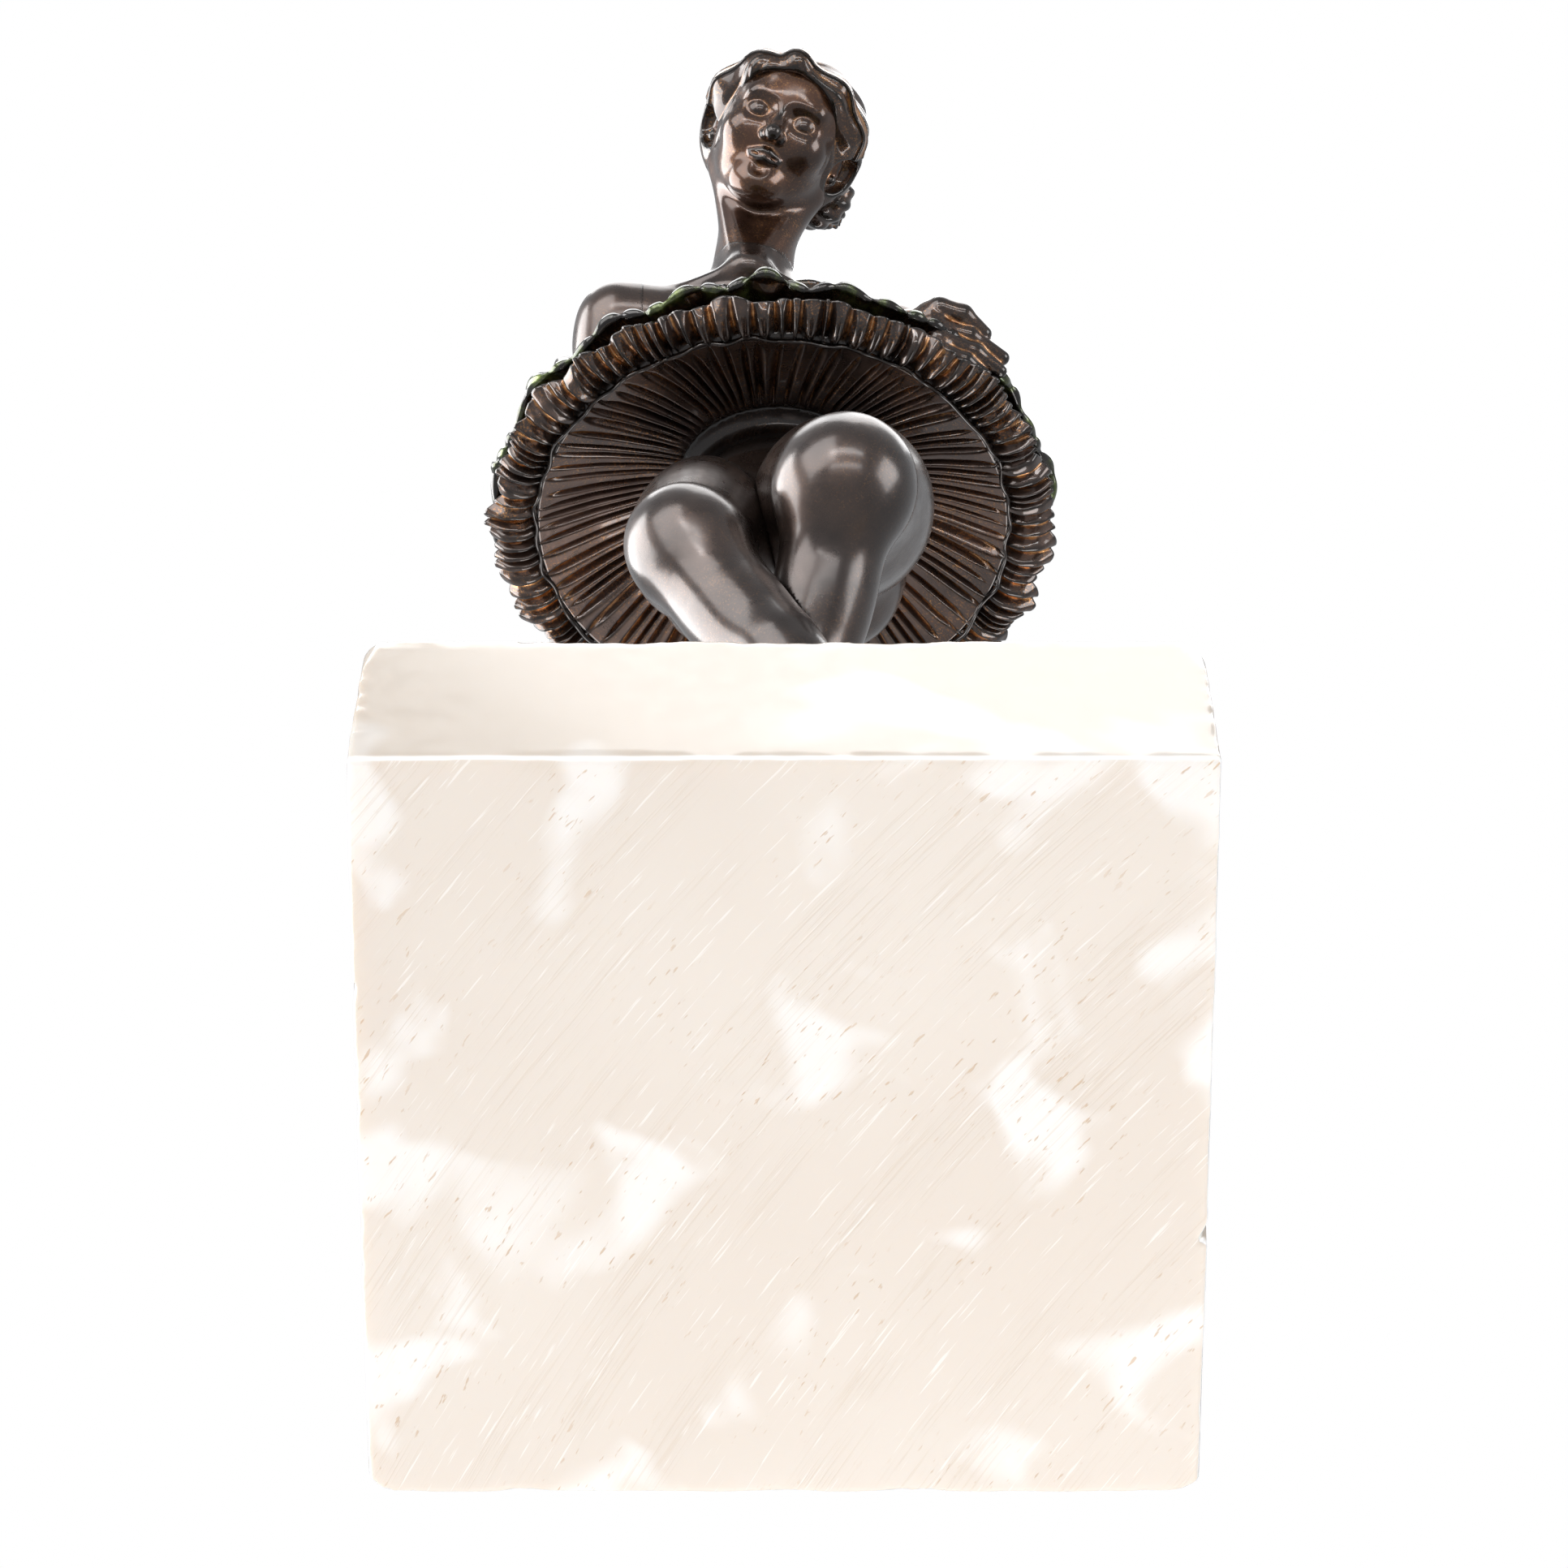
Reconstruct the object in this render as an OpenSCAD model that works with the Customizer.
// Bronze statuette of a dancer in a tutu, curtsying on an alabaster block.
// The bronze is cast in sections that are pinned and brazed together, and
// pegs under the feet are glued into blind holes in the stone.
// Origin: centre of the underside of the stone. -Y is the front, +Z is up.

/* [Base] */
// Width of the stone block at its underside
base_w = 100; // [95:1:110]
// Depth of the stone block at its underside
base_d = 100; // [95:1:110]
// Height of the stone block
base_h = 31; // [26:1:36]
// How far each side leans in towards the top
base_taper = 0.6; // [0:0.2:2]
// Radius of the upright corners
base_corner_r = 2; // [1:0.5:4]

/* [Figure] */
// Height that the figure would have if it stood straight
stature = 209; // [200:1:218]
// Forward lean of the trunk, in degrees
trunk_lean = 14; // [11:1:17]
// Forward lean of the neck, in degrees
neck_lean = 36; // [30:1:42]
// Sideways tilt of the head, in degrees
head_tilt = 22; // [16:1:26]
// How far the head bows forward, in degrees
head_bow = 50; // [40:1:56]
// How far the thighs swing forward, in degrees
knee_bend = 33; // [30:1:35]

/* [Tutu] */
// Radius of the hem
tutu_r = 36.4; // [35:0.2:38]
// Forward slope of the tutu, in degrees
tutu_tilt = 13; // [11:1:15]
// Width of the gathered frill round the hem
frill_w = 5; // [4:0.5:6]
// Pleats on the underside of the tutu
pleats = 82; // [60:2:90]
// Pleats in the frill
frill_pleats = 150; // [120:2:160]

/* [Joints] */
// Radius of the pins between the castings
pin_r = 1.2; // [1:0.1:1.4]
// Clearance round each pin
pin_gap = 0.05; // [0.03:0.01:0.1]
// Length of each pin
pin_len = 9; // [7:1:10]
// Radius of the pegs under the feet
peg_r = 2; // [1.5:0.1:2.2]
// Length of the pegs under the feet
peg_len = 14; // [10:1:18]

/* [Hidden] */

round_fn = 20;
eps = 0.01;
big = 120;
bronze = [0.20, 0.12, 0.08];
patina = [0.22, 0.30, 0.14];
gilt = [0.72, 0.42, 0.14];
stone = [0.93, 0.89, 0.83];
steel = [0.60, 0.60, 0.62];

// Unit vectors that lean forward (-Y) by f and sideways (+X) by s.
function unit(v) = v / norm(v);
function rising(f, s) = unit([tan(s), -tan(f), 1]);
function falling(f, s) = unit([tan(s), -tan(f), -1]);
function mix(a, b, t) = a + (b - a) * t;

// Points of the skeleton.
hips = [-0.5, -16, base_h + 0.440 * stature];
hip_r = hips - [0.032 * stature, 0, 0];
hip_l = hips + [0.032 * stature, 0, 0];
knee_r = hip_r + 0.245 * stature * falling(knee_bend - 7, -6);
knee_l = hip_l + 0.245 * stature * falling(knee_bend + 2, 2);
ankle_r = knee_r + 0.225 * stature * falling(-12, 30);
ankle_l = knee_l + 0.248 * stature * falling(-44, -17);
waist = hips + 0.085 * stature * rising(trunk_lean, -3);
chest = waist + 0.09 * stature * rising(trunk_lean + 1, -5);
neck = chest + 0.09 * stature * rising(trunk_lean + 1, -6);
shoulder_r = neck + [-0.083 * stature, 2.5, -0.040 * stature];
shoulder_l = neck + [0.093 * stature, 4, -0.058 * stature];
elbow_r = shoulder_r + 0.145 * stature * unit([-5, 23, -18]);
elbow_l = shoulder_l + 0.140 * stature * unit([15.5, 15.5, -16]);
nape = neck + 0.074 * stature * rising(neck_lean, 10);

// A vector in the head's frame, turned with the head.
function rolled(v, t) = [v[0] * cos(t) + v[2] * sin(t), v[1], v[2] * cos(t) - v[0] * sin(t)];
function bowed(v, t) = [v[0], v[1] * cos(t) - v[2] * sin(t), v[1] * sin(t) + v[2] * cos(t)];
function head_vector(v) = bowed(rolled(v, head_tilt), head_bow);
skull = nape + head_vector([0, -3, 6]);
tutu = hips + [-1, 1.5, 0.05 * stature];

// Hands on the hem, at an angle round the tutu from +X towards -Y.
function hem(angle, r, z) = tutu + [
    r * cos(angle),
    -r * sin(angle) * cos(tutu_tilt) + z * sin(-tutu_tilt),
    -r * sin(angle) * sin(tutu_tilt) + z * cos(tutu_tilt)
];
hand_l = hem(46, tutu_r - 1.5, 1.6);
hand_r = hem(152, tutu_r - 4, 5.4);
wrist_l = mix(hand_l, elbow_l, 0.24);
wrist_r = mix(hand_r, elbow_r, 0.26);

thigh_r = 0.047 * stature;
knee_rad = 0.034 * stature;
calf_r = 0.034 * stature;
ankle_rad = 0.018 * stature;
hip_joint = 0.30; // share of the thigh that belongs to the pelvis casting
waist_z = 9;      // height of the waist seat above the hem's plane
seat_r = 12;      // radius of the turned seat that carries the skirts
collar_h = 1.2;   // thickness of each skirt's collar on the seat
sheet_t = 1.1;    // thickness of the cast skirts

// ---- helpers -------------------------------------------------------------

// Turns +Z to the direction d.
module aim(d) {
    u = unit(d);
    rotate([0, acos(u[2]), atan2(u[1], u[0])]) children();
}

// Everything beyond the plane through p with normal d.
module beyond(p, d) {
    translate(p) aim(d) translate([-big / 2, -big / 2, 0]) cube(big);
}

// One tapered stretch between two balls.
module stretch(a, ra, b, rb) {
    hull() {
        translate(a) sphere(r = ra, $fn = round_fn);
        translate(b) sphere(r = rb, $fn = round_fn);
    }
}

// A chain of tapered stretches through [point, radius] stations.
module limb(stations) {
    for (i = [0 : len(stations) - 2])
        stretch(stations[i][0], stations[i][1], stations[i + 1][0], stations[i + 1][1]);
}

// Balls at [point, radius] stations under one skin.
module skin(stations) {
    hull() for (s = stations) translate(s[0]) sphere(r = s[1], $fn = round_fn);
}

module pin_at(p, d, r, length) {
    translate(p) aim(d) cylinder(r = r, h = length, center = true, $fn = 40);
}

module on_tutu() {
    translate(tutu) rotate([tutu_tilt, 0, 0]) children();
}

// ---- joints between the castings ------------------------------------------

thigh_dir_r = unit(knee_r - hip_r);
thigh_dir_l = unit(knee_l - hip_l);
cut_r = mix(hip_r, knee_r, hip_joint);
cut_l = mix(hip_l, knee_l, hip_joint);
trunk_dir = unit(chest - waist);
chest_cut = mix(waist, chest, 0.95);
neck_dir = unit(nape - neck);
neck_cut = mix(neck, nape, 0.12);
arm_cut_r = shoulder_r + [0.018 * stature, 0, -0.006 * stature];
arm_cut_l = shoulder_l + [-0.018 * stature, 0, -0.006 * stature];
bun_dir = unit([0.45, 0.85, 0.15]);
bun_cut = skull + 10.2 * bun_dir;
toe_r = [0.11 * stature, -0.06 * stature, 0];
toe_l = [-0.10 * stature, -0.05 * stature, 0];
peg_at_r = [ankle_r[0], ankle_r[1], base_h] + 0.2 * toe_r;
peg_at_l = [ankle_l[0], ankle_l[1], base_h] + 0.2 * toe_l;

module pegs(gap) {
    for (p = [peg_at_r, peg_at_l])
        translate([p[0], p[1], base_h - peg_len + 4 - gap])
            cylinder(r = peg_r + gap, h = peg_len + 2 * gap, $fn = 40);
}

module hip_pin_set(gap) {
    pin_at(cut_r, thigh_dir_r, pin_r + gap, pin_len + 2 * gap);
    pin_at(cut_l, thigh_dir_l, pin_r + gap, pin_len + 2 * gap);
}

module shoulder_pin_set(gap) {
    pin_at(arm_cut_r, [1, 0, 0], pin_r + gap, pin_len + 2 * gap);
    pin_at(arm_cut_l, [1, 0, 0], pin_r + gap, pin_len + 2 * gap);
}

module chest_pin_set(gap) {
    for (x = [-8, 8])
        pin_at(chest_cut + [x, 0, 0], trunk_dir, pin_r + gap, 6 + 2 * gap);
}

module neck_pin_body(gap) {
    pin_at(neck_cut, neck_dir, pin_r + gap, pin_len + 2 * gap);
}

module bun_pin_body(gap) {
    pin_at(bun_cut, bun_dir, 0.8 + gap, 5 + 2 * gap);
}

// ---- stone ----------------------------------------------------------------

module block_outline(inset, r) {
    offset(r = r, $fn = 40)
        square([base_w - 2 * (inset + r), base_d - 2 * (inset + r)], center = true);
}

module alabaster_base() {
    edge = 0.6;
    color(stone) difference() {
        hull() {
            linear_extrude(height = eps) block_outline(edge, base_corner_r);
            translate([0, 0, edge]) linear_extrude(height = eps)
                block_outline(0, base_corner_r);
            translate([0, 0, base_h - edge]) linear_extrude(height = eps)
                block_outline(base_taper, base_corner_r);
            translate([0, 0, base_h - eps]) linear_extrude(height = eps)
                block_outline(base_taper + edge, base_corner_r);
        }
        pegs(0.1);
    }
}

module foot_pegs() {
    color(steel) pegs(0);
}

// ---- legs -----------------------------------------------------------------

module foot(ankle, toe) {
    sole = 0.017 * stature;
    heel = [ankle[0], ankle[1], base_h + sole] - 0.16 * toe;
    ball = [ankle[0], ankle[1], base_h + sole] + 0.72 * toe;
    tip = [ankle[0], ankle[1], base_h + 0.6 * sole] + 1.05 * toe;
    skin([[ankle, ankle_rad], [heel, sole], [ball, sole]]);
    stretch(ball, sole, tip, 0.6 * sole);
}

module leg(cut, hip, knee, ankle, toe, dir) {
    calf = mix(knee, ankle, 0.32) + [0, 1.6, 0];
    color(bronze) difference() {
        union() {
            limb([
                [mix(hip, knee, 0.1), thigh_r],
                [mix(hip, knee, 0.72), 0.86 * thigh_r],
                [knee, knee_rad],
                [calf, calf_r],
                [ankle, ankle_rad]
            ]);
            foot(ankle, toe);
        }
        beyond(cut, -dir);
        beyond([0, 0, base_h], [0, 0, -1]);
        hip_pin_set(pin_gap);
        pegs(0.1);
    }
}

// The half of space on one side of the plane where the thighs touch.
module across_the_middle(s) {
    meet = mix(hip_r[0], hip_l[0], 0.5) - 1;
    above_knees = knee_l[2] + 7;
    translate([s > 0 ? meet - 0.03 : meet + 0.03 - big, -big / 2, above_knees]) cube(big);
}

module right_leg() {
    difference() {
        leg(cut_r, hip_r, knee_r, ankle_r, toe_r, thigh_dir_r);
        across_the_middle(1);
    }
}

module left_leg() {
    difference() {
        leg(cut_l, hip_l, knee_l, ankle_l, toe_l, thigh_dir_l);
        across_the_middle(-1);
        // relief where the right leg crosses in front
        skin([
            [mix(knee_r, ankle_r, 0.1), calf_r + 0.4],
            [mix(knee_r, ankle_r, 0.32) + [0, 1.6, 0], calf_r + 0.4],
            [ankle_r, ankle_rad + 0.4]
        ]);
    }
}

// ---- pelvis and skirts -----------------------------------------------------

module pelvis() {
    seat_top = waist_z + 2 * collar_h;
    color(bronze) difference() {
        union() {
            skin([
                [hip_r, thigh_r], [hip_l, thigh_r],
                [mix(hips, waist, 0.5) - [5, 0, 0], 9], [mix(hips, waist, 0.5) + [5, 0, 0], 9]
            ]);
            stretch(hip_r, thigh_r, mix(hip_r, knee_r, 0.72), 0.86 * thigh_r);
            stretch(hip_l, thigh_r, mix(hip_l, knee_l, 0.72), 0.86 * thigh_r);
            on_tutu() cylinder(r = seat_r, h = seat_top, $fn = 64);
        }
        beyond(cut_r, thigh_dir_r);
        beyond(cut_l, thigh_dir_l);
        on_tutu() difference() {
            translate([-30, -30, waist_z]) cube([60, 60, 30]);
            cylinder(r = seat_r, h = seat_top, $fn = 64);
        }
        hip_pin_set(pin_gap);
        waist_screw_body(0.1);
    }
}

module hip_pins() {
    color(steel) hip_pin_set(0);
}

// A closed sheet round the tutu's axis. rows are [radius, height, depth of
// the pleats] from the inside out.
module pleated_sheet(rows, folds, thick) {
    m = len(rows);
    n = folds * 2;
    function at(side, i, k) = let (a = 360 * k / n, row = rows[i], ridge = k % 2 == 0 ? 1 : -1)
        [row[0] * cos(a), row[0] * sin(a), row[1] + row[2] * ridge + side * thick];
    function id(side, i, k) = (side * m + i) * n + k % n;
    points = [for (side = [0, 1]) for (i = [0 : m - 1]) for (k = [0 : n - 1]) at(side, i, k)];
    faces = [
        for (k = [0 : n - 1]) each [
            for (i = [0 : m - 2]) each [
                [id(0, i, k), id(0, i + 1, k + 1), id(0, i, k + 1)],
                [id(0, i, k), id(0, i + 1, k), id(0, i + 1, k + 1)],
                [id(1, i, k), id(1, i, k + 1), id(1, i + 1, k + 1)],
                [id(1, i, k), id(1, i + 1, k + 1), id(1, i + 1, k)]
            ],
            [id(0, 0, k), id(0, 0, k + 1), id(1, 0, k + 1)],
            [id(0, 0, k), id(1, 0, k + 1), id(1, 0, k)],
            [id(0, m - 1, k), id(1, m - 1, k + 1), id(0, m - 1, k + 1)],
            [id(0, m - 1, k), id(1, m - 1, k), id(1, m - 1, k + 1)]
        ]
    ];
    polyhedron(points, faces, convexity = 8);
}

frill_in = tutu_r - frill_w;

module collar(z) {
    translate([0, 0, z]) difference() {
        cylinder(r = seat_r + 3, h = collar_h, $fn = 64);
        translate([0, 0, -eps]) cylinder(r = seat_r + pin_gap, h = collar_h + 2 * eps, $fn = 64);
    }
}

module underskirt() {
    color(bronze) on_tutu() {
        collar(waist_z);
        pleated_sheet([
            [seat_r + 2.5, waist_z - 0.1, 0],
            [20, waist_z - 3.0, 0.25],
            [0.9 * frill_in, 1.5, 0.6],
            [frill_in, 0, 0]
        ], pleats, sheet_t);
    }
}

module hem_frill() {
    color(bronze) on_tutu() pleated_sheet([
        [frill_in + 0.02, 0, 0],
        [frill_in + 0.35 * frill_w, -1.2, 0.4],
        [tutu_r - 0.4, -0.2, 0.4]
    ], frill_pleats, sheet_t);
}

module top_skirt() {
    top_z = waist_z + collar_h;
    color(patina) on_tutu() {
        collar(top_z);
        pleated_sheet([
            [seat_r + 2.5, top_z - 0.05, 0],
            [22, top_z - 2.6, 0.3],
            [frill_in, 3.2, 0.4],
            [tutu_r, 2.1, 0.5]
        ], floor(pleats / 2), sheet_t);
    }
}

// The room that the skirts take up, cut out of the hands that hold them.
module skirt_room() {
    top_z = waist_z + collar_h + sheet_t;
    on_tutu() rotate_extrude($fn = 90) polygon([
        [seat_r, top_z + 1],
        [22, top_z - 2.1],
        [frill_in, 4.9 + 0.1],
        [tutu_r + 0.2, 3.9],
        [tutu_r + 0.2, -0.5],
        [frill_in + 0.35 * frill_w, -1.8],
        [frill_in - 1, -0.2],
        [20, waist_z - 3.6],
        [seat_r, waist_z - 1]
    ]);
}

// Screw up through the pelvis into the bodice.
screw_head_z = waist_z - 4;

module waist_screw_body(gap) {
    on_tutu() {
        translate([0, 0, screw_head_z]) cylinder(r = 2 + gap, h = 14 + gap, $fn = 40);
        translate([0, 0, -24]) cylinder(r = 3.6 + gap, h = screw_head_z + 24, $fn = 40);
    }
}

module waist_screw() {
    color(steel) on_tutu() {
        translate([0, 0, screw_head_z]) cylinder(r = 2, h = 14, $fn = 40);
        difference() {
            translate([0, 0, screw_head_z - 2.4]) cylinder(r = 3.5, h = 2.4, $fn = 40);
            translate([-4, -0.5, screw_head_z - 2.5]) cube([8, 1, 1.1]);
        }
    }
}

// ---- trunk ------------------------------------------------------------------

seat_face = waist_z + 2 * collar_h;

module bodice_shape(inset) {
    side = [1, 0, 0];
    top = chest + [0, -1.5, 2];
    skin([
        [waist - 3.6 * side, 8.4 - inset], [waist + 3.6 * side, 8.4 - inset],
        [top - 7 * side, 9 - inset], [top + 7 * side, 9 - inset]
    ]);
}

module bodice() {
    color(patina) difference() {
        union() {
            bodice_shape(0);
            // basque that covers the seat
            on_tutu() translate([0, 0, seat_face]) cylinder(r1 = seat_r + 1.5, r2 = 8.5, h = 4.5, $fn = 64);
        }
        on_tutu() translate([-30, -30, seat_face - 40]) cube([60, 60, 40]);
        beyond(chest_cut, trunk_dir);
        intersection() {
            bodice_shape(3);
            on_tutu() translate([-30, -30, seat_face + 9]) cube([60, 60, 40]);
        }
        waist_screw_body(0.1);
        chest_pin_set(pin_gap);
    }
}

module bust() {
    side = [1, 0, 0];
    breast = chest + [0, -7.4, 3.4];
    ribs = chest + [0, -1.5, 2];
    color(bronze) difference() {
        union() {
            skin([
                [ribs - 7 * side, 8.8], [ribs + 7 * side, 8.8],
                [shoulder_r + [5.5, 0, -1], 5], [shoulder_l + [-5.5, 0, -1], 5],
                [neck + [0, 2, -5], 5.4]
            ]);
            skin([[mix(waist, chest, 0.7) - 6.4 * side, 8.6], [mix(waist, chest, 0.7) + 6.4 * side, 8.6],
                [ribs - 7 * side, 8.8], [ribs + 7 * side, 8.8]]);
            stretch(breast - 6.4 * side, 5, breast - 5.8 * side + [0, 4, 3], 4.4);
            stretch(breast + 6.4 * side, 5, breast + 5.8 * side + [0, 4, 3], 4.4);
            stretch(neck + [0, 1.5, -4], 6.6, neck_cut + 2 * neck_dir, 5.5);
        }
        beyond(chest_cut, -trunk_dir);
        beyond(neck_cut, neck_dir);
        beyond(arm_cut_r, [-1, 0, 0]);
        beyond(arm_cut_l, [1, 0, 0]);
        chest_pin_set(pin_gap);
        shoulder_pin_set(pin_gap);
        neck_pin_body(pin_gap);
    }
}

module chest_pins() {
    color(steel) chest_pin_set(0);
}

// ---- arms -------------------------------------------------------------------

// The fingers fold over the hem and the thumb stays on top of it.
module arm(shoulder, elbow, wrist, hand, spread) {
    out = unit(hand - tutu);
    along = spread * unit(cross([0, 0, 1], out));
    knuckles = hand + 1.5 * out + [0, 0, 3.2];
    limb([[shoulder, 5.4], [mix(shoulder, elbow, 0.45), 4.4], [elbow, 3.7], [wrist, 2.5]]);
    skin([
        [wrist, 2.4], [knuckles + 2.4 * along, 1.9], [knuckles - 2.4 * along, 1.9],
        [knuckles + 2.4 * out - [0, 0, 5] + 1.8 * along, 1.5],
        [knuckles + 2.4 * out - [0, 0, 5] - 1.8 * along, 1.5]
    ]);
    skin([
        [knuckles + 2 * out - [0, 0, 5] + 2 * along, 1.4],
        [knuckles + 2 * out - [0, 0, 5] - 2 * along, 1.4],
        [knuckles - 3 * out - [0, 0, 7.4] + 1.6 * along, 1.3],
        [knuckles - 3 * out - [0, 0, 7.4] - 1.6 * along, 1.3]
    ]);
}

module right_arm() {
    color(bronze) difference() {
        arm(shoulder_r, elbow_r, wrist_r, hand_r, 1);
        beyond(arm_cut_r, [1, 0, 0]);
        shoulder_pin_set(pin_gap);
        skirt_room();
        on_tutu() translate([-60, -30, -20]) cube([60, 60, 20]);
    }
}

module left_arm() {
    color(bronze) difference() {
        arm(shoulder_l, elbow_l, wrist_l, hand_l, -1);
        beyond(arm_cut_l, [-1, 0, 0]);
        shoulder_pin_set(pin_gap);
        skirt_room();
    }
}

module shoulder_pins() {
    color(steel) shoulder_pin_set(0);
}

// ---- head -------------------------------------------------------------------

// The head's own frame: origin at the skull's centre, face towards -Y.
module on_head() {
    translate(skull) rotate([head_bow, 0, 0]) rotate([0, head_tilt, 0]) children();
}

module head() {
    color(bronze) difference() {
        union() {
            on_head() {
                // skull and hair
                skin([[[0, 2.2, 2.4], 11.3], [[0, -1.6, 1], 9.8], [[0, -7.4, 7.2], 3.8]]);
                // face, from the brow to the chin
                skin([
                    [[-3.6, -4, 0], 5.6], [[3.6, -4, 0], 5.6],
                    [[-3.4, -3.4, -5], 4.6], [[3.4, -3.4, -5], 4.6], [[0, -6, -9.6], 2.6]
                ]);
                // nose
                stretch([0, -9.4, 0.6], 0.8, [0, -10.4, -3], 1.3);
                // ears
                stretch([-9.3, 0.8, -1.2], 1.4, [-8.7, 0.4, -4], 1.0);
                stretch([9.3, 0.8, -1.2], 1.4, [8.7, 0.4, -4], 1.0);
            }
            stretch(neck_cut - 2 * neck_dir, 6, nape, 5.4);
        }
        beyond(neck_cut, -neck_dir);
        beyond(bun_cut, bun_dir);
        neck_pin_body(pin_gap);
        bun_pin_body(pin_gap);
        on_head() headband_body(0.05);
    }
}

module neck_pin() {
    color(steel) neck_pin_body(0);
}

module hair_bun() {
    color(bronze) difference() {
        skin([[bun_cut + 1.5 * bun_dir, 5.6], [bun_cut + 3.6 * bun_dir, 4.6]]);
        beyond(bun_cut, -bun_dir);
        bun_pin_body(pin_gap);
    }
}

module bun_pin() {
    color(steel) bun_pin_body(0);
}

// A flat band let into the hair, from ear to ear over the hairline.
module headband_body(gap) {
    rotate([-47, 0, 0]) difference() {
        translate([0, 0, -1 - gap]) cylinder(r = 12.1, h = 2 + 2 * gap, $fn = 64);
        translate([0, 0, -5]) cylinder(r = 10 - gap, h = 10, $fn = 64);
        translate([-15, -1 + gap, -5]) cube([30, 30, 20]);
    }
}

module headband() {
    color(gilt) on_head() headband_body(0);
}

// ---- nodes -------------------------------------------------------------------

alabaster_base();
foot_pegs();
right_leg();
left_leg();
pelvis();
hip_pins();
underskirt();
hem_frill();
top_skirt();
waist_screw();
bodice();
bust();
chest_pins();
right_arm();
left_arm();
shoulder_pins();
head();
neck_pin();
hair_bun();
bun_pin();
headband();
